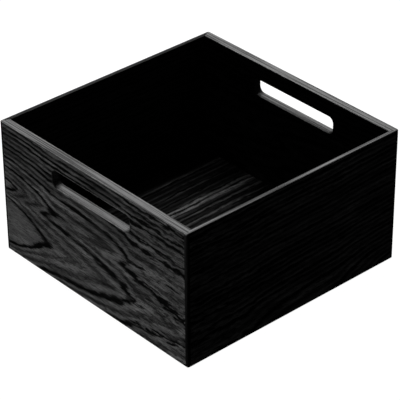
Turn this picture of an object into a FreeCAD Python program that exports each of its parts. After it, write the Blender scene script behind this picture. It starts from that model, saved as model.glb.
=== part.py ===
import FreeCAD, Part
import math
import os

# Open-top storage box in black-stained oak: veneered board walls, mitred at the
# corners, with a hand slot through each end.
#
# Frame: millimetres, +Z up. The origin is the middle of the footprint, on the
# surface that the box stands on. The two slotted ends face -Y (front) and +Y
# (rear); the two plain sides face -X (left) and +X (right).

# ---- driving dimensions -----------------------------------------------------

WIDTH = 340.0               # outside, along X
DEPTH = 340.0               # outside, along Y
HEIGHT = 184.0              # outside, along Z
END_THICKNESS = 12.0        # finished thickness of the slotted ends
SIDE_THICKNESS = 6.0        # finished thickness of the plain sides
VENEER = 0.6                # face veneer on every board
BAND = 1.5                  # solid edge band on the rim and the base
BAND_ARRIS = 0.8            # round-over along the edge bands

BEAD = 4.5                  # solid bead let into each outer corner, square
CORNER_RADIUS = 2.5         # round-over of the outer corners, in plan

SLOT_LENGTH = 142.0         # hand slot, clear size
SLOT_HEIGHT = 24.0
SLOT_RADIUS = 8.0
SLOT_BELOW_RIM = 23.0       # from the rim down to the slot's upper edge
LINING = 0.8                # wood strip bent round the inside of the slot
LINING_ARRIS = 0.6

FLOOR_UNDERSIDE = 7.0       # height of the bottom panel's underside
FLOOR_THICKNESS = 6.0
END_GROOVE = 5.0            # groove depth for the bottom panel, in the ends
SIDE_GROOVE = 3.0           # and in the sides
GROOVE_GAP = 0.5            # room left at the back of the groove

SPLINE_WIDTH = 4.4          # loose tongue glued across each mitre
SPLINE_THICKNESS = 1.5
SPLINE_ALONG_MITRE = 0.6    # its place on the mitre, from outer to inner corner
SPLINE_ABOVE_FLOOR = 5.0
SPLINE_BELOW_RIM = 10.0

OUT_DIR = "parts"

# ---- derived places ---------------------------------------------------------

OUTER_X = WIDTH / 2
OUTER_Y = DEPTH / 2
INNER_X = OUTER_X - SIDE_THICKNESS
INNER_Y = OUTER_Y - END_THICKNESS
BOARD_BOTTOM = BAND
BOARD_TOP = HEIGHT - BAND
SLOT_CENTRE_Z = HEIGHT - SLOT_BELOW_RIM - SLOT_HEIGHT / 2
FLOOR_TOP = FLOOR_UNDERSIDE + FLOOR_THICKNESS
UP = FreeCAD.Vector(0, 0, 1)

END_SIGNS = {"front_end": -1, "rear_end": 1}
SIDE_SIGNS = {"left_side": -1, "right_side": 1}


# ---- shape helpers ----------------------------------------------------------

def box_between(low, high):
    """A block from its lowest to its highest corner."""
    size = [top - bottom for bottom, top in zip(low, high)]
    return Part.makeBox(*size, FreeCAD.Vector(*low))


def centred_block(half_x, half_y, low_z, high_z):
    """A block centred on the Z axis."""
    return box_between((-half_x, -half_y, low_z), (half_x, half_y, high_z))


def prism(points, low_z, high_z):
    """An upright prism over a closed plan outline."""
    corners = [FreeCAD.Vector(x, y, low_z) for x, y in points]
    face = Part.Face(Part.makePolygon(corners + corners[:1]))
    return face.extrude(UP * (high_z - low_z))


def edges_at(shape, axis, value):
    """The edges that lie wholly in the plane axis = value."""
    tolerance = 1e-4
    found = []
    for edge in shape.Edges:
        bounds = edge.BoundBox
        low, high = (getattr(bounds, axis + end) for end in ("Min", "Max"))
        if abs(low - value) < tolerance and abs(high - value) < tolerance:
            found.append(edge)
    return found


# ---- walls ------------------------------------------------------------------

def end_outline(sign):
    """Plan of a slotted end: a trapezium with a mitre at each corner."""
    return [(-OUTER_X, sign * OUTER_Y), (OUTER_X, sign * OUTER_Y),
            (INNER_X, sign * INNER_Y), (-INNER_X, sign * INNER_Y)]


def side_outline(sign):
    """Plan of a plain side: a trapezium with a mitre at each corner."""
    return [(sign * OUTER_X, -OUTER_Y), (sign * OUTER_X, OUTER_Y),
            (sign * INNER_X, INNER_Y), (sign * INNER_X, -INNER_Y)]


def wall_outlines():
    """Every wall's name with its plan outline."""
    outlines = {name: end_outline(sign) for name, sign in END_SIGNS.items()}
    outlines.update({name: side_outline(sign) for name, sign in SIDE_SIGNS.items()})
    return outlines


def wall_layer(name, outline, outer_depth, inner_depth):
    """The slice of a wall between two depths below its outer face."""
    if name in END_SIGNS:
        near, far = sorted(END_SIGNS[name] * (OUTER_Y - depth) for depth in (outer_depth, inner_depth))
        slab = box_between((-OUTER_X, near, BOARD_BOTTOM), (OUTER_X, far, BOARD_TOP))
    else:
        near, far = sorted(SIDE_SIGNS[name] * (OUTER_X - depth) for depth in (outer_depth, inner_depth))
        slab = box_between((near, -OUTER_Y, BOARD_BOTTOM), (far, OUTER_Y, BOARD_TOP))
    return prism(outline, BOARD_BOTTOM, BOARD_TOP).common(slab)


def slot_block(sign, margin):
    """The hand slot's space in one end, grown by a margin all round."""
    half_x = SLOT_LENGTH / 2 + margin
    half_z = SLOT_HEIGHT / 2 + margin
    near, far = sorted((sign * OUTER_Y, sign * INNER_Y))
    block = box_between((-half_x, near, SLOT_CENTRE_Z - half_z),
                        (half_x, far, SLOT_CENTRE_Z + half_z))
    along_y = [edge for edge in block.Edges if edge.BoundBox.YLength > END_THICKNESS / 2]
    return block.makeFillet(SLOT_RADIUS + margin, along_y)


def slot_lining(sign):
    """The strip bent round the slot, its clear edges rounded over."""
    clear = slot_block(sign, 0)
    ring = slot_block(sign, LINING).cut(clear)
    arris = []
    for face_y in (sign * OUTER_Y, sign * INNER_Y):
        for edge in edges_at(ring, "Y", face_y):
            if edge.distToShape(clear)[0] < LINING / 2:
                arris.append(edge)
    return ring.makeFillet(LINING_ARRIS, arris)


def floor_block(clearance, low_z, high_z):
    """The bottom panel's outline in the grooves, less a clearance all round."""
    return centred_block(INNER_X + SIDE_GROOVE - clearance,
                         INNER_Y + END_GROOVE - clearance, low_z, high_z)


# ---- corners ----------------------------------------------------------------

def corner_signs():
    """Every corner's name with the signs of its X and Y."""
    corners = {}
    for end_name, sign_y in (("front", -1), ("rear", 1)):
        for side_name, sign_x in (("left", -1), ("right", 1)):
            corners[end_name + "_" + side_name] = (sign_x, sign_y)
    return corners


def bead_block(sign_x, sign_y):
    """The square rebate that a corner bead fills."""
    xs = sorted((sign_x * OUTER_X, sign_x * (OUTER_X - BEAD)))
    ys = sorted((sign_y * OUTER_Y, sign_y * (OUTER_Y - BEAD)))
    return box_between((xs[0], ys[0], BOARD_BOTTOM), (xs[1], ys[1], BOARD_TOP))


def rounded_outside(low_z, high_z):
    """The box's whole outer form, its upright corners rounded."""
    block = centred_block(OUTER_X, OUTER_Y, low_z, high_z)
    upright = [edge for edge in block.Edges if edge.BoundBox.ZLength > (high_z - low_z) / 2]
    return block.makeFillet(CORNER_RADIUS, upright)


def spline_block(sign_x, sign_y):
    """The loose tongue that crosses a mitre at right angles."""
    mitre = FreeCAD.Vector(-sign_x * SIDE_THICKNESS, -sign_y * END_THICKNESS, 0)
    corner = FreeCAD.Vector(sign_x * OUTER_X, sign_y * OUTER_Y, FLOOR_TOP + SPLINE_ABOVE_FLOOR)
    length = HEIGHT - SPLINE_BELOW_RIM - corner.z
    tongue = Part.makeBox(SPLINE_THICKNESS, SPLINE_WIDTH, length,
                          FreeCAD.Vector(-SPLINE_THICKNESS / 2, -SPLINE_WIDTH / 2, 0))
    tongue.rotate(FreeCAD.Vector(0, 0, 0), UP, math.degrees(math.atan2(mitre.y, mitre.x)))
    tongue.translate(corner + mitre * SPLINE_ALONG_MITRE)
    return tongue


# ---- edge bands -------------------------------------------------------------

def band_ring(low_z, high_z, worn_z):
    """A band round all four walls, its outer arris rounded over at worn_z."""
    outside = rounded_outside(low_z, high_z)
    outside = outside.makeFillet(BAND_ARRIS, edges_at(outside, "Z", worn_z))
    return outside.cut(centred_block(INNER_X, INNER_Y, low_z, high_z))


def wall_band(name, outline, low_z, high_z, worn_z):
    """One wall's length of a band, mitred, its inner arris rounded over too."""
    ring = band_ring(low_z, high_z, worn_z)
    length = ring.common(prism(outline, low_z, high_z)).removeSplitter()
    if name in END_SIGNS:
        inner_edges = edges_at(length, "Y", END_SIGNS[name] * INNER_Y)
    else:
        inner_edges = edges_at(length, "X", SIDE_SIGNS[name] * INNER_X)
    arris = [edge for edge in inner_edges if edges_at(edge, "Z", worn_z)]
    return length.makeFillet(BAND_ARRIS, arris)


# ---- the pieces -------------------------------------------------------------

def wall_layers(name, outline):
    """A wall's core and face veneers, with their rebates, grooves and slot cut."""
    thickness = END_THICKNESS if name in END_SIGNS else SIDE_THICKNESS
    groove = floor_block(0, FLOOR_UNDERSIDE, FLOOR_TOP)
    beads = [bead_block(*signs) for signs in corner_signs().values()]
    splines = [spline_block(*signs) for signs in corner_signs().values()]
    slot = [slot_block(END_SIGNS[name], LINING)] if name in END_SIGNS else []
    layers = {
        "outer_veneer": (0, VENEER, beads + slot),
        "core": (VENEER, thickness - VENEER, beads + splines + slot + [groove]),
        "inner_veneer": (thickness - VENEER, thickness, slot + [groove]),
    }
    for layer, (outer_depth, inner_depth, cutters) in layers.items():
        whole = wall_layer(name, outline, outer_depth, inner_depth)
        layers[layer] = whole.cut(Part.makeCompound(cutters))
    return layers


def wall_pieces():
    """Cores and face veneers of the four walls, and the slot linings.

    The bottom panel's groove parts each inner veneer into the sheet above it
    and a narrow strip below it.
    """
    pieces = {}
    for name, outline in wall_outlines().items():
        layers = wall_layers(name, outline)
        strip, sheet = sorted(layers["inner_veneer"].Solids, key=lambda solid: solid.BoundBox.ZMin)
        pieces[name + "_core"] = layers["core"]
        pieces[name + "_outer_veneer"] = layers["outer_veneer"]
        pieces[name + "_inner_veneer"] = sheet
        pieces[name + "_inner_veneer_foot"] = strip
    for name, sign in END_SIGNS.items():
        pieces[name + "_slot_lining"] = slot_lining(sign)
    return pieces


def band_pieces():
    """The rim and base bands, one length to each wall."""
    pieces = {}
    for name, outline in wall_outlines().items():
        pieces[name + "_rim_band"] = wall_band(name, outline, BOARD_TOP, HEIGHT, HEIGHT)
        pieces[name + "_base_band"] = wall_band(name, outline, 0, BOARD_BOTTOM, 0)
    return pieces


def corner_pieces():
    """A rounded bead and a hidden spline at each corner."""
    pieces = {}
    outside = rounded_outside(BOARD_BOTTOM, BOARD_TOP)
    for name, signs in corner_signs().items():
        pieces[name + "_corner_bead"] = bead_block(*signs).common(outside)
        pieces[name + "_mitre_spline"] = spline_block(*signs)
    return pieces


def bottom_pieces():
    """The bottom panel: a core between two veneers."""
    core_low = FLOOR_UNDERSIDE + VENEER
    core_high = FLOOR_TOP - VENEER
    return {
        "bottom_lower_veneer": floor_block(GROOVE_GAP, FLOOR_UNDERSIDE, core_low),
        "bottom_core": floor_block(GROOVE_GAP, core_low, core_high),
        "bottom_upper_veneer": floor_block(GROOVE_GAP, core_high, FLOOR_TOP),
    }


def single_solid(shape, node):
    """The one valid solid in a shape, with needless seams merged."""
    solids = shape.removeSplitter().Solids
    if len(solids) != 1 or not solids[0].isValid():
        raise ValueError(node + " is not one valid solid")
    return solids[0]


def main():
    """Build every piece and write one STEP file for each."""
    os.makedirs(OUT_DIR, exist_ok=True)
    pieces = {}
    for group in (wall_pieces, band_pieces, corner_pieces, bottom_pieces):
        pieces.update(group())
    for node, shape in pieces.items():
        solid = single_solid(shape, node)
        solid.exportStep(os.path.join(OUT_DIR, node + ".step"))
        print(node, round(solid.Volume, 1))


main()
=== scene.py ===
import math
from dataclasses import dataclass, replace

import bpy
from mathutils import Matrix, Vector


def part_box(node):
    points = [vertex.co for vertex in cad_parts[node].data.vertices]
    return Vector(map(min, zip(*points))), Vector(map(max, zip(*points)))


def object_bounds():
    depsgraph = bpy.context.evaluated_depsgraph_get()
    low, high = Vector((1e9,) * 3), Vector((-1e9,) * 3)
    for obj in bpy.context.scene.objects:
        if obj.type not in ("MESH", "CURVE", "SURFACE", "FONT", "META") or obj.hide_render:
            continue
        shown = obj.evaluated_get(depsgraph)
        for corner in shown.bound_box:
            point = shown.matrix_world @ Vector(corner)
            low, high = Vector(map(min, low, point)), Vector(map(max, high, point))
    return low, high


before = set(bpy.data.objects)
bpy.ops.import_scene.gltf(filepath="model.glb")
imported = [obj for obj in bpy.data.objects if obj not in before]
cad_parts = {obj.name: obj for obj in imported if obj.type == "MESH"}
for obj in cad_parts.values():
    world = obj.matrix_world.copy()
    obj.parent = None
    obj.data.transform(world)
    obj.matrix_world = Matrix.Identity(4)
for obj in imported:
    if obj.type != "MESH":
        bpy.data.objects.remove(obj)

CAD_LOW, CAD_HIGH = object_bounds()
BOX_WIDTH = CAD_HIGH.x - CAD_LOW.x
BOX_HEIGHT = CAD_HIGH.z - CAD_LOW.z
MM = 0.001

# ---- camera -----------------------------------------------------------------

CAMERA_AZIMUTH = 48.31          # degrees, from looking along +Y towards looking along -X
CAMERA_ELEVATION = 32.46
CAMERA_ROLL = -0.41             # degrees, anticlockwise
CAMERA_LENS = 191.8             # mm, on Blender's 36 mm sensor
CAMERA_DISTANCE = 7.70          # box widths, from the point it looks at
CAMERA_AIM_HEIGHT = 0.420       # of the box's height
CAMERA_AIM_RIGHT = 0.0037       # box widths, to the right of the box's middle axis
CAMERA_CLIP = (0.1, 50.0)       # metres

# ---- lights -----------------------------------------------------------------
# Each soft light: azimuth and elevation of the side it shines from, distance,
# width and height in metres, and its power in watts. The floor blocks no light,
# so the strip's middle and the panel can lie below it.

LIGHTS = {
    "softbox_rear_left": (-132.0, 52.0, 1.7, 1.0, 1.0, 25.0),
    "softbox_overhead": (-60.0, 82.0, 1.9, 1.3, 1.3, 3.0),
    "strip_front": (3.0, -8.0, 0.8, 0.25, 0.12, 1.75),
    "softbox_right": (105.0, 20.0, 2.0, 1.0, 0.8, 0.5),
    "panel_below": (0.0, -90.0, 0.8, 0.28, 0.28, 3.0),
}
WORLD_LIGHT = 0.007
BACKDROP = 1.0
FLOOR_GLOW = 1.0
FLOOR_ALBEDO = 0.1
FLOOR_HALF = 8.0

# ---- wood figure ------------------------------------------------------------
# A flat-sawn board cuts the growth rings of a bending log at a slant. Each of
# the two hearts has a height across the board and a depth under its face that
# changes along the grain; a ring shows where its radius equals the distance to
# the nearer heart. Lengths are in millimetres.

FIGURE_START = -172.0           # along the board, where the two depth curves start and end
FIGURE_END = 172.0
DEPTH_SCALE = 80.0              # the depth that a curve's 1 stands for
UPPER_HEART = 98.0
UPPER_HEART_DEPTH = [(-172, 1), (-120, 16.6), (-103, 21), (-91, 24.2), (-72, 29), (-50, 30.5), (0, 33),
                     (30, 35.2), (50, 37.4), (60, 39.6), (72, 42.4), (110, 43.4), (172, 45)]
LOWER_HEART = 46.0
LOWER_HEART_DEPTH = [(-172, 1), (-130, 22.6), (-95, 34.6), (-60, 40), (-20, 44), (10, 47.5),
                     (35, 50), (50, 51.8), (62, 54), (76, 56.8), (110, 60), (172, 66)]
LOWER_HEART_OFFSET = -27.6      # its rings are numbered from the upper heart's
HEART_BLEND = 3.0
TIP_WIDTH = 11.0                # the arches end in points this wide and deep
TIP_LENGTH = 3.0
RING_SPACING = 6.6
FIRST_RING = 0.45               # inside this the wood is plain
RING_STRENGTH = [0.15, 0.95, 0.35, 0.4, 1.0, 0.5, 1.0, 0.4, 1.0, 0.9, 0.5, 1.0, 1.0, 0.75, 1.0, 0.85]

# Noises that push the rings about: their sizes along, across and through the
# board, and how wide they swing.
RING_WARP = (80, 24, 40)
RING_WARP_SWING = 6.0
FEATHER_WARP = (22, 1.0, 6)
FEATHER_SWING = 3.6
CURL_WARP = (14, 4, 8)
CURL_SWING = 3.4

# Steps for Graph.ramp: where each starts and ends and, unless they are 0 and 1,
# the values before and after it. These count in growth rings.
LINE_START = (-0.36, -0.05)
LINE_STOP = (0.05, 0.30, 1.0, 0.0)
SHADE_START = (-0.5, -0.18)
SHADE_STOP = (0.05, 0.38, 1.0, 0.0)
LATEWOOD = (0.2, 0.95, 1.22, 0.66)          # each ring's wood darkens towards its end
INNER_RINGS = (5.5, 9.0, 1.08, 0.9)         # the wood near the heart is a little paler
FAINT_LINE = (0.1, 0.4)                     # counts in fine lines

# This one counts in mm along the board: the lines are livelier towards its end.
CURL_GROWTH = (30.0, 110.0, 1.0, 2.9)

# These pick out the strong parts of a noise.
PATCHES = (0.32, 0.56, 0.55, 1.3)
OPEN_PORE = (0.54, 0.66)
SOLID_PORE = (0.62, 0.70)
SOLID_STREAK = (0.42, 0.56, 0.25, 1.25)

# Ranges for Graph.contrast: from a noise's low to its high, and by how much.
CLOUD_CONTRAST = (0.3, 0.7, 0.5)
SOLID_FIBRE_CONTRAST = (0.25, 0.75, 0.25)
CORE_FIBRE_CONTRAST = (0.2, 0.8, 0.2)
FACE_FIBRE_RANGE = (0.32, 0.68)             # its amount is each board's own

SHADE_SHARE = 0.8               # of a ring line's darkness
PATCH_SIZES = (36, 6, 20)
FAINT_LINES = 5.0               # fine lines in each ring
FAINT_DARK = 0.24
FAINT_SHADED = 0.5              # more of it where the ring's shade lies

# How pale the bottom board's straight grain is across its width, in mm from its middle.
BOTTOM_WIDTH = BOX_WIDTH / MM
BAND_WANDER = (120, 14, 20)
BAND_WANDER_SWING = 0.02
BAND_POWER = 1.8                # deepens the dark between the pale bands
BOTTOM_BANDS = [(-170, 0.05), (-142, 0.05), (-134, 0.55), (-127, 0.6), (-123, 0.12), (-118, 0.5),
                (-113, 0.12), (-106, 0.5), (-99, 0.06), (-92, 0.4), (-86, 0.15), (-78, 0.95),
                (-67, 1.0), (-61, 0.2), (-55, 0.6), (-50, 0.1), (-42, 0.55), (-34, 0.1),
                (-18, 0.5), (0, 0.15), (22, 0.6), (50, 0.1), (75, 0.5), (100, 0.2), (130, 0.6), (170, 0.1)]

# ---- stain and painted shade ------------------------------------------------
# Base brightness of each kind of surface: black stain takes differently on
# face veneer, on solid edges and in the corners, and was never put on the
# plywood core or the beech splines. The inner veneers' darker tone and the left
# side band's near-black tone are painted shade, and the corner bead's near black
# is partly its stain and partly painted shade for the sheen it misses.

FACE_TONE = 0.112
INNER_SHADE_TONE = 0.020
BOTTOM_TONE = 0.18
EDGE_TONE = 0.19
LINING_TONE = 0.19
RIGHT_EDGE_TONE = 0.26
LEFT_EDGE_SHADE_TONE = 0.012
BEAD_STAIN_AND_SHADE_TONE = 0.006
SPLINE_TONE = 0.4
DARK_PLY = 0.20
PALE_PLY = 0.30
PLY_THICKNESS = 1.2
PLY_CHANGE = (0.48, 0.52)       # where, in a pair of plies, pale turns to dark
GLUE_LINE = (0.02, 0.08, 1.0, 0.0)      # in plies, from where two meet
LINING_END_SHADE = 6.0               # mm from a lining's end, where it bends and painted shade turns it black
LINING_END_SHADE_FADE = 7.0          # mm over which the painted shade turns it black
LINING_END_SHADE_SHARE = 0.12        # how much of the tone the painted shade leaves there
LINING_ARRIS_SHADE_FADE = 4.5               # mm from a lining's inner arris, where its painted shade ends
# how much of the tone the painted shade leaves at the inner arris
LINING_ARRIS_SHADE_SHARE = 0.3
SIDE_SHADE_SHARE = 0.45               # painted shade on a band's sides, against its pale face
SIDE_SHADE_STEP = (0.15, 0.6)         # mm from the pale face to where the side's painted shade begins
STREAK_STEP = (0.7, 2.3, 1.0, 0.1)      # mm beside a thin band's streak

FACE_SPECULAR = 0.06
EDGE_SPECULAR = 0.1
BEAD_SPECULAR = 0.06
CORE_SPECULAR = 0.3
FACE_ROUGHNESS = 0.5
EDGE_ROUGHNESS = 0.42
CORE_ROUGHNESS = 0.65
CORE_ROUGHNESS_SPREAD = 0.2
PORE_RELIEF = 0.12 * MM
EDGE_RELIEF = 0.08 * MM
CORE_RELIEF = 0.05 * MM

# Noise sizes, in mm along the grain, across it and through the board.
SHORT_FIBRE = (26, 0.9, 4)
LONG_FIBRE = (160, 3.0, 6)
SOLID_FIBRE = (22, 0.5, 0.5)
CORE_FIBRE = (24, 0.7, 0.7)
SOLID_STREAKS = (140, 1.9, 1.9)
FACE_PORES = (9, 0.9, 3)
SOLID_PORES = (5, 0.4, 0.4)
CLOUDS = (60, 11, 30)
WEAR_PATCHES = (9, 9, 9)

# The rub of an arris: mm from it, and the noise that makes it ragged.
WEAR_STEP = (0.2, 1.4, 1.0, 0.0)
WEAR_RAGGED = (0.42, 0.62)

# What each feature does to the stain's brightness.
PORES_IN_LINES = 0.16           # a ring's dark line has more open pores
LINE_DARKENS = -0.99
PORE_DARKENS = -0.7
SOLID_PORE_DARKENS = -0.5
GLUE_DARKENS = -0.5
FACE_WEAR_PALES = 0.35
SOLID_WEAR_PALES = 0.6
CORE_WEAR_PALES = 0.2

# What each feature does to the roughness.
LINE_ROUGHENS = 0.18
PORE_ROUGHENS = 0.12
SOLID_PORE_ROUGHENS = 0.15
FIBRE_ROUGHNESS_SWING = 0.12
SOLID_FIBRE_ROUGHNESS_SWING = 0.14
WEAR_SMOOTHS = -0.08

# How deep each feature is in the bump, against an open pore's -1.
LINE_DEPTH = -0.35
FIBRE_HEIGHT = 0.35
SOLID_FIBRE_HEIGHT = 0.5


@dataclass(frozen=True)
class Board:
    """Which way a piece's grain runs and how its wood looks. Lengths in mm."""
    axes: str                   # the frame's axes along the grain, across it and through the board
    tone: float
    seed: float = 0.0
    turn: float = 1.0           # -1 turns the figure end for end
    along: float = 0.0          # shifts the figure
    across: float = 0.0
    fibre: tuple = SHORT_FIBRE
    fibre_contrast: float = 0.38
    bands: tuple = ()           # pale bands across the board
    streak: float = None        # where a thin band's one pale streak lies
    painted_shade_ends: float = None     # how far from its middle painted shade turns it black
    painted_shade_side: tuple = None     # across the board, where its painted shade is darkest and where it ends
    unshaded_height: float = None   # the height of a band's pale face; painted shade darkens its sides
    specular: float = FACE_SPECULAR


class Graph:
    """Adds nodes to one node tree and wires them up value by value."""

    def __init__(self, tree):
        self.tree = tree

    def node(self, kind, inputs=None, **settings):
        node = self.tree.nodes.new("ShaderNode" + kind)
        for key, value in settings.items():
            setattr(node, key, value)
        for key, value in (inputs or {}).items():
            self.feed(node.inputs[key], value)
        return node

    def feed(self, socket, value):
        if isinstance(value, bpy.types.NodeSocket):
            self.tree.links.new(value, socket)
        else:
            socket.default_value = value

    def math(self, operation, *values, clamp=False):
        node = self.node("Math", dict(enumerate(values)), operation=operation, use_clamp=clamp)
        return node.outputs[0]

    def add(self, *values):
        total = values[0]
        for value in values[1:]:
            total = self.math("ADD", total, value)
        return total

    def times(self, *values):
        product = values[0]
        for value in values[1:]:
            product = self.math("MULTIPLY", product, value)
        return product

    def scaled(self, value, factor, offset):
        return self.math("MULTIPLY_ADD", value, factor, offset)

    def swing(self, value, width):
        """Turns 0..1 into a swing of the given width about 0."""
        return self.scaled(value, width, -width / 2)

    def ramp(self, value, start, end, low=0.0, high=1.0, smooth=True):
        """low below start, high above end, and a smooth or straight step between."""
        node = self.node("MapRange", interpolation_type="SMOOTHSTEP" if smooth else "LINEAR")
        for socket, number in zip(node.inputs[:5], (value, start, end, low, high)):
            self.feed(socket, number)
        return node.outputs[0]

    def contrast(self, value, low, high, amount):
        """A factor about 1 that follows value between low and high."""
        return self.ramp(value, low, high, 1 - amount, 1 + amount, smooth=False)

    def noise(self, place, sizes, detail=2.0, roughness=0.5, shift=0.0):
        """Noise from 0 to 1 whose grains have the given sizes in millimetres."""
        scaled = [self.times(value, 1 / size) for value, size in zip(place, sizes)]
        vector = self.node("CombineXYZ", {0: self.add(scaled[0], shift), 1: scaled[1], 2: scaled[2]})
        settings = {"Vector": vector.outputs[0], "Scale": 1.0, "Detail": detail, "Roughness": roughness}
        return self.node("TexNoise", settings).outputs[0]

    def curve(self, value, points):
        """A smooth curve through points in 0..1."""
        node = self.node("FloatCurve", {"Value": value})
        line = node.mapping.curves[0]
        line.points[0].location = points[0]
        line.points[1].location = points[-1]
        for x, y in points[1:-1]:
            line.points.new(x, y)
        node.mapping.update()
        return node.outputs[0]


def new_graph(name):
    """A material with an empty node tree, and its graph."""
    material = bpy.data.materials.new(name)
    material.use_nodes = True
    material.node_tree.nodes.clear()
    return material, Graph(material.node_tree)


def position(graph):
    """X, Y and Z in millimetres, in the frame's own coordinates."""
    place = graph.node("TexCoord").outputs["Object"]
    parts = graph.node("SeparateXYZ", {0: place}).outputs
    return [graph.times(part, 1 / MM) for part in parts]


def board_place(graph, board):
    """Where a point lies along the grain, across it and through the board."""
    xyz = position(graph)
    along, across, depth = [xyz["XYZ".index(axis)] for axis in board.axes]
    return graph.scaled(along, board.turn, board.along), graph.add(across, board.across), depth


# ---- grain ------------------------------------------------------------------


def heart_distance(graph, along, across, heart, depths):
    """The distance from a point of the face to one bending heart of the log."""
    span = FIGURE_END - FIGURE_START
    share = graph.math("MULTIPLY_ADD", along, 1 / span, -FIGURE_START / span, clamp=True)
    points = [((x - FIGURE_START) / span, depth / DEPTH_SCALE) for x, depth in depths]
    deep = graph.times(graph.curve(share, points), DEPTH_SCALE)
    aside = graph.math("ABSOLUTE", graph.math("SUBTRACT", across, heart))
    round_distance = graph.math("SQRT", graph.add(graph.times(aside, aside), graph.times(deep, deep)))
    return graph.add(round_distance, graph.ramp(aside, 0.0, TIP_WIDTH, -TIP_LENGTH, 0.0, smooth=False))


def ring_phase(graph, place, seed):
    """The number of the growth ring at a point, with its fraction."""
    along, across, _ = place
    warp = graph.noise(place, RING_WARP, detail=1.0, shift=seed)
    bent = graph.add(across, graph.swing(warp, RING_WARP_SWING))
    upper = heart_distance(graph, along, bent, UPPER_HEART, UPPER_HEART_DEPTH)
    lower = heart_distance(graph, along, bent, LOWER_HEART, LOWER_HEART_DEPTH)
    radius = graph.math("SMOOTH_MIN", upper, graph.add(lower, LOWER_HEART_OFFSET), HEART_BLEND)
    feather = graph.noise(place, FEATHER_WARP, detail=3.0, roughness=0.6, shift=seed)
    curl = graph.noise(place, CURL_WARP, shift=seed)
    livelier = graph.ramp(along, *CURL_GROWTH)
    radius = graph.add(radius, graph.swing(feather, FEATHER_SWING),
                       graph.times(graph.swing(curl, CURL_SWING), livelier))
    return graph.math("MAXIMUM", graph.times(radius, 1 / RING_SPACING), FIRST_RING)


def ring_lines(graph, place, phase, seed):
    """How dark the porous start of each growth ring and the fine lines in it are, from 0 to 1."""
    nearest = graph.math("ROUND", phase)
    apart = graph.math("SUBTRACT", phase, nearest)
    count = len(RING_STRENGTH)
    years = [(ring / count, dark) for ring, dark in enumerate(RING_STRENGTH)]
    year = graph.math("WRAP", nearest, count, 0.0)
    strength = graph.curve(graph.times(year, 1 / count), years)
    line = graph.times(graph.ramp(apart, *LINE_START), graph.ramp(apart, *LINE_STOP))
    shade = graph.times(graph.ramp(apart, *SHADE_START), graph.ramp(apart, *SHADE_STOP), SHADE_SHARE)
    patches = graph.noise(place, PATCH_SIZES, detail=4.0, roughness=0.6, shift=seed + 2)
    strength = graph.times(strength, graph.ramp(patches, *PATCHES))
    strong = graph.times(graph.math("MAXIMUM", line, shade), strength)
    within = graph.math("PINGPONG", graph.times(phase, FAINT_LINES), 0.5)
    faint = graph.times(graph.ramp(within, *FAINT_LINE), graph.scaled(shade, FAINT_SHADED, FAINT_DARK))
    return graph.math("MAXIMUM", strong, faint, clamp=True)


def pale_bands(graph, place, board):
    """The pale and dark bands of straight grain across a board."""
    share = graph.scaled(place[1], 1 / BOTTOM_WIDTH, 0.5 - board.across / BOTTOM_WIDTH)
    wander = graph.noise(place, BAND_WANDER, detail=1.0, shift=board.seed)
    points = [(x / BOTTOM_WIDTH + 0.5, pale) for x, pale in board.bands]
    bands = graph.curve(graph.add(share, graph.swing(wander, BAND_WANDER_SWING)), points)
    return graph.math("POWER", bands, BAND_POWER)


def edge_wear(graph, node):
    """Rubbed arrises: 1 where two faces of a piece's box are near, in ragged patches."""
    low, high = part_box(node)
    xyz = position(graph)
    gaps = [graph.math("MINIMUM", graph.add(value, -start / MM), graph.math("SUBTRACT", end / MM, value))
            for value, start, end in zip(xyz, low, high)]
    least = graph.math("MINIMUM", gaps[0], gaps[1])
    most = graph.math("MAXIMUM", gaps[0], gaps[1])
    second = graph.math("MAXIMUM", least, graph.math("MINIMUM", most, gaps[2]))
    ragged = graph.noise(xyz, WEAR_PATCHES, detail=4.0, roughness=0.65)
    return graph.times(graph.ramp(second, *WEAR_STEP), graph.ramp(ragged, *WEAR_RAGGED))


def finish_surface(graph, brightness, roughness, height, specular, relief):
    """Colour, roughness and bump into one Principled shader."""
    colour = graph.node("CombineColor", {0: brightness, 1: brightness, 2: brightness}).outputs[0]
    bump = graph.node("Bump", {"Strength": 1.0, "Distance": relief, "Height": height}).outputs[0]
    shader = graph.node("BsdfPrincipled", {"Base Color": colour, "Roughness": roughness, "Normal": bump})
    shader.inputs["Specular IOR Level"].default_value = specular
    graph.node("OutputMaterial", {"Surface": shader.outputs[0]})


# ---- materials --------------------------------------------------------------


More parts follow.
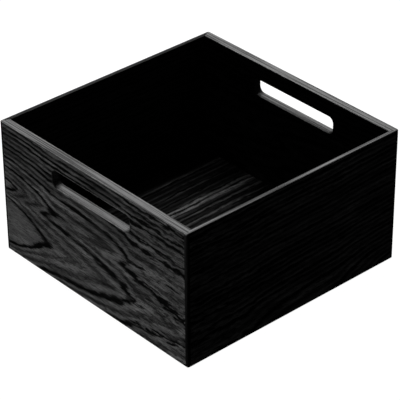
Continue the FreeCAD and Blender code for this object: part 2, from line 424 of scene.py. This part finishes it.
def veneer_material(node, board):
    """Black-stained flat-sawn oak veneer, with its pores open."""
    material, graph = new_graph(node)
    place = board_place(graph, board)
    phase = ring_phase(graph, place, board.seed)
    lines = ring_lines(graph, place, phase, board.seed)
    clouds = graph.noise(place, CLOUDS, detail=3.0, shift=board.seed + 11)
    fibres = graph.noise(place, board.fibre, detail=3.0, roughness=0.6, shift=board.seed)
    pores = graph.noise(place, FACE_PORES, detail=3.0, roughness=0.6, shift=board.seed + 5)
    open_pores = graph.ramp(graph.add(pores, graph.times(lines, PORES_IN_LINES)), *OPEN_PORE)
    wear = edge_wear(graph, node)
    if board.bands:
        tone = graph.times(pale_bands(graph, place, board), board.tone)
    else:
        latewood = graph.ramp(graph.math("FRACT", phase), *LATEWOOD)
        tone = graph.times(graph.ramp(phase, *INNER_RINGS), latewood, board.tone)
    brightness = graph.times(tone, graph.contrast(clouds, *CLOUD_CONTRAST),
                             graph.contrast(fibres, *FACE_FIBRE_RANGE, board.fibre_contrast),
                             graph.scaled(lines, LINE_DARKENS, 1.0),
                             graph.scaled(open_pores, PORE_DARKENS, 1.0),
                             graph.scaled(wear, FACE_WEAR_PALES, 1.0))
    roughness = graph.add(graph.times(lines, LINE_ROUGHENS), graph.times(open_pores, PORE_ROUGHENS),
                          graph.swing(fibres, FIBRE_ROUGHNESS_SWING), graph.times(wear, WEAR_SMOOTHS),
                          FACE_ROUGHNESS)
    height = graph.add(graph.times(open_pores, -1.0), graph.times(lines, LINE_DEPTH),
                       graph.times(fibres, FIBRE_HEIGHT))
    finish_surface(graph, brightness, roughness, height, board.specular, PORE_RELIEF)
    return material


def solid_material(node, board):
    """Solid wood, stained as dark as its tone: long streaks, arrises rubbed a little paler, and painted
    shade at a lining's ends and inner arris and on a band's sides.
    """
    material, graph = new_graph(node)
    place = board_place(graph, board)
    streaks = graph.noise(place, SOLID_STREAKS, detail=3.0, roughness=0.6, shift=board.seed)
    fibres = graph.noise(place, SOLID_FIBRE, detail=3.0, roughness=0.6, shift=board.seed)
    pores = graph.noise(place, SOLID_PORES, shift=board.seed + 3)
    open_pores = graph.ramp(pores, *SOLID_PORE)
    wear = edge_wear(graph, node)
    band = graph.ramp(streaks, *SOLID_STREAK)
    if board.streak is not None:
        aside = graph.math("ABSOLUTE", graph.math("SUBTRACT", place[1], board.streak))
        band = graph.times(band, graph.ramp(aside, *STREAK_STEP))
    # Painted shade: a lining turns almost black towards its ends.
    if board.painted_shade_ends is not None:
        from_middle = graph.math("ABSOLUTE", place[0])
        fade = graph.ramp(from_middle, board.painted_shade_ends - LINING_END_SHADE_FADE, board.painted_shade_ends,
                          1.0, LINING_END_SHADE_SHARE)
        band = graph.times(band, fade)
    # Painted shade: a lining darkens towards its inner arris.
    if board.painted_shade_side is not None:
        band = graph.times(band, graph.ramp(place[1], *board.painted_shade_side, LINING_ARRIS_SHADE_SHARE, 1.0))
    # Painted shade: a band's sides are darker than its pale face.
    if board.unshaded_height is not None:
        under = graph.math("ABSOLUTE", graph.math("SUBTRACT", place[2], board.unshaded_height))
        band = graph.times(band, graph.ramp(under, *SIDE_SHADE_STEP, 1.0, SIDE_SHADE_SHARE))
    brightness = graph.times(band, board.tone, graph.contrast(fibres, *SOLID_FIBRE_CONTRAST),
                             graph.scaled(open_pores, SOLID_PORE_DARKENS, 1.0),
                             graph.scaled(wear, SOLID_WEAR_PALES, 1.0))
    roughness = graph.add(graph.times(open_pores, SOLID_PORE_ROUGHENS),
                          graph.swing(fibres, SOLID_FIBRE_ROUGHNESS_SWING), graph.times(wear, WEAR_SMOOTHS),
                          EDGE_ROUGHNESS)
    height = graph.add(graph.times(open_pores, -1.0), graph.times(fibres, SOLID_FIBRE_HEIGHT))
    finish_surface(graph, brightness, roughness, height, board.specular, EDGE_RELIEF)
    return material


def core_material(node, board):
    """Bare plywood: plies that are pale and dark by turns, with dark glue lines between them."""
    material, graph = new_graph(node)
    place = board_place(graph, board)
    ply = graph.math("FRACT", graph.times(place[2], 1 / PLY_THICKNESS))
    pair = graph.math("FRACT", graph.times(place[2], 0.5 / PLY_THICKNESS))
    glue = graph.ramp(ply, *GLUE_LINE)
    fibres = graph.noise(place, CORE_FIBRE, detail=3.0)
    brightness = graph.times(graph.ramp(pair, *PLY_CHANGE, board.tone, DARK_PLY),
                             graph.contrast(fibres, *CORE_FIBRE_CONTRAST),
                             graph.scaled(glue, GLUE_DARKENS, 1.0),
                             graph.scaled(edge_wear(graph, node), CORE_WEAR_PALES, 1.0))
    roughness = graph.scaled(fibres, CORE_ROUGHNESS_SPREAD, CORE_ROUGHNESS)
    finish_surface(graph, brightness, roughness, fibres, CORE_SPECULAR, CORE_RELIEF)
    return material


# ---- boards -----------------------------------------------------------------


def veneer_boards():
    """Which way each veneer's grain runs, and which stretch of the log it shows."""
    walls = {
        "front_end": Board("XZY", FACE_TONE),
        "rear_end": Board("XZY", FACE_TONE, seed=3.0, turn=-1.0, along=12.0, across=6.0),
        "left_side": Board("YZX", FACE_TONE, seed=7.0, across=110.0),
        "right_side": Board("YZX", FACE_TONE, seed=9.0, turn=-1.0, across=95.0),
    }
    boards = {}
    for wall, board in walls.items():
        # The inner veneers are the outer ones' wood, painted darker as the shade inside the box.
        inner = replace(board, tone=INNER_SHADE_TONE, along=board.along + 30.0, seed=board.seed + 20.0)
        boards[wall + "_outer_veneer"] = board
        boards[wall + "_inner_veneer"] = inner
        boards[wall + "_inner_veneer_foot"] = inner
    boards["bottom_upper_veneer"] = Board("YXZ", BOTTOM_TONE, seed=40.0, across=330.0, fibre=LONG_FIBRE,
                                          fibre_contrast=0.9, bands=tuple(BOTTOM_BANDS))
    boards["bottom_lower_veneer"] = Board("YXZ", FACE_TONE, seed=44.0, across=330.0)
    return boards


def band_board(node, seed):
    """The end bands are evenly grey on their pale face, with painted shade on their sides; the thin side
    bands are dark, with one pale streak, and the left one's near-black tone is painted shade.
    """
    low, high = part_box(node)
    unshaded_height = (high.z if node.endswith("rim_band") else low.z) / MM
    if "_end_" in node:
        return Board("XYZ", EDGE_TONE, seed=seed, specular=EDGE_SPECULAR, unshaded_height=unshaded_height)
    # The left side band is the same wood as the right; its near-black tone is painted shade.
    tone = LEFT_EDGE_SHADE_TONE if node.startswith("left") else RIGHT_EDGE_TONE
    return Board("YXZ", tone, seed=seed, streak=(low.x + high.x) / 2 / MM, specular=FACE_SPECULAR,
                 unshaded_height=unshaded_height)


def lining_board(node, seed):
    """The slot linings are pale, with painted shade that turns them almost black at the bends and darker
    towards the inside.
    """
    low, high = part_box(node)
    inner = (high.y if node.startswith("front") else low.y) / MM
    outward = -1 if node.startswith("front") else 1
    return Board("XYZ", LINING_TONE, seed=seed, specular=EDGE_SPECULAR, painted_shade_ends=high.x / MM - LINING_END_SHADE,
                 painted_shade_side=(inner, inner + outward * LINING_ARRIS_SHADE_FADE))


def wood_for(node, seed, veneers):
    """The material of one CAD node."""
    if node in veneers:
        return veneer_material(node, veneers[node])
    if node.endswith("_band"):
        return solid_material(node, band_board(node, seed))
    if node.endswith("_lining"):
        return solid_material(node, lining_board(node, seed))
    if node.endswith("_bead"):
        # The corner bead is near black partly from its stain and partly as painted shade for the sheen it
        # misses.
        return solid_material(node, Board("ZXY", BEAD_STAIN_AND_SHADE_TONE, seed=seed, specular=BEAD_SPECULAR))
    if node.endswith("_spline"):
        return solid_material(node, Board("ZXY", SPLINE_TONE, seed=seed, specular=EDGE_SPECULAR))
    axes = {"front": "XZY", "rear": "XZY", "bottom": "XYZ"}.get(node.split("_")[0], "YZX")
    return core_material(node, Board(axes, PALE_PLY))


def dress_all():
    """Every CAD node keeps its shape and gets its own wood."""
    veneers = veneer_boards()
    for seed, node in enumerate(sorted(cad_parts)):
        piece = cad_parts[node]
        piece.data.materials.clear()
        piece.data.materials.append(wood_for(node, float(seed), veneers))


# ---- stage ------------------------------------------------------------------

def direction(azimuth, elevation):
    a, e = math.radians(azimuth), math.radians(elevation)
    return Vector((math.sin(a) * math.cos(e), -math.cos(a) * math.cos(e), math.sin(e)))


def add_light(name, azimuth, elevation, distance, width, height, power):
    """A rectangular soft light that faces the middle of the box."""
    data = bpy.data.lights.new(name, "AREA")
    data.shape = "RECTANGLE"
    data.size = width
    data.size_y = height
    data.energy = power
    light = bpy.data.objects.new(name, data)
    towards = direction(azimuth, elevation)
    light.location = Vector((0, 0, BOX_HEIGHT / 2)) + towards * distance
    light.rotation_euler = towards.to_track_quat("Z", "Y").to_euler()
    bpy.context.scene.collection.objects.link(light)


def add_floor():
    """A plain floor that glows evenly. Only the camera sees it, from above, and it blocks no light."""
    mesh = bpy.data.meshes.new("floor")
    corners = [(x * FLOOR_HALF, y * FLOOR_HALF, 0) for x, y in ((-1, -1), (1, -1), (1, 1), (-1, 1))]
    mesh.from_pydata(corners, [], [(0, 1, 2, 3)])
    floor = bpy.data.objects.new("floor", mesh)
    bpy.context.scene.collection.objects.link(floor)
    material, graph = new_graph("floor_paper")
    glow = graph.node("Emission", {"Color": (1, 1, 1, 1), "Strength": FLOOR_GLOW})
    paper = graph.node("BsdfDiffuse", {"Color": (FLOOR_ALBEDO, FLOOR_ALBEDO, FLOOR_ALBEDO, 1)})
    both = graph.node("AddShader", {0: glow.outputs[0], 1: paper.outputs[0]})
    through = graph.node("BsdfTransparent")
    below = graph.node("NewGeometry").outputs["Backfacing"]
    surface = graph.node("MixShader", {0: below, 1: both.outputs[0], 2: through.outputs[0]})
    graph.node("OutputMaterial", {"Surface": surface.outputs[0]})
    mesh.materials.append(material)
    floor.visible_diffuse = False
    floor.visible_glossy = False
    floor.visible_shadow = False


def set_world():
    """A dim room that lights the box, and a pale backdrop for the camera."""
    world = bpy.data.worlds.new("room")
    bpy.context.scene.world = world
    world.use_nodes = True
    world.node_tree.nodes.clear()
    graph = Graph(world.node_tree)
    room = graph.node("Background", {"Color": (1, 1, 1, 1), "Strength": WORLD_LIGHT})
    backdrop = graph.node("Background", {"Color": (1, 1, 1, 1), "Strength": BACKDROP})
    seen = graph.node("LightPath").outputs["Is Camera Ray"]
    both = graph.node("MixShader", {0: seen, 1: room.outputs[0], 2: backdrop.outputs[0]})
    graph.node("OutputWorld", {"Surface": both.outputs[0]})


def add_camera():
    """The camera, from the box's front right, looking down."""
    data = bpy.data.cameras.new("camera")
    data.lens = CAMERA_LENS
    data.clip_start, data.clip_end = CAMERA_CLIP
    camera = bpy.data.objects.new("camera", data)
    back = direction(CAMERA_AZIMUTH, CAMERA_ELEVATION)
    right = Vector((0, 0, 1)).cross(back).normalized()
    aim = Vector((0, 0, CAMERA_AIM_HEIGHT * BOX_HEIGHT)) + right * CAMERA_AIM_RIGHT * BOX_WIDTH
    roll = Matrix.Rotation(math.radians(CAMERA_ROLL), 3, "Z")
    camera.location = aim + back * CAMERA_DISTANCE * BOX_WIDTH
    camera.rotation_mode = "QUATERNION"
    camera.rotation_quaternion = ((-back).to_track_quat("-Z", "Y").to_matrix() @ roll).to_quaternion()
    bpy.context.scene.collection.objects.link(camera)
    bpy.context.scene.camera = camera


bpy.context.scene.view_settings.view_transform = "Standard"
dress_all()
add_floor()
set_world()
for light_name, settings in LIGHTS.items():
    add_light(light_name, *settings)
add_camera()
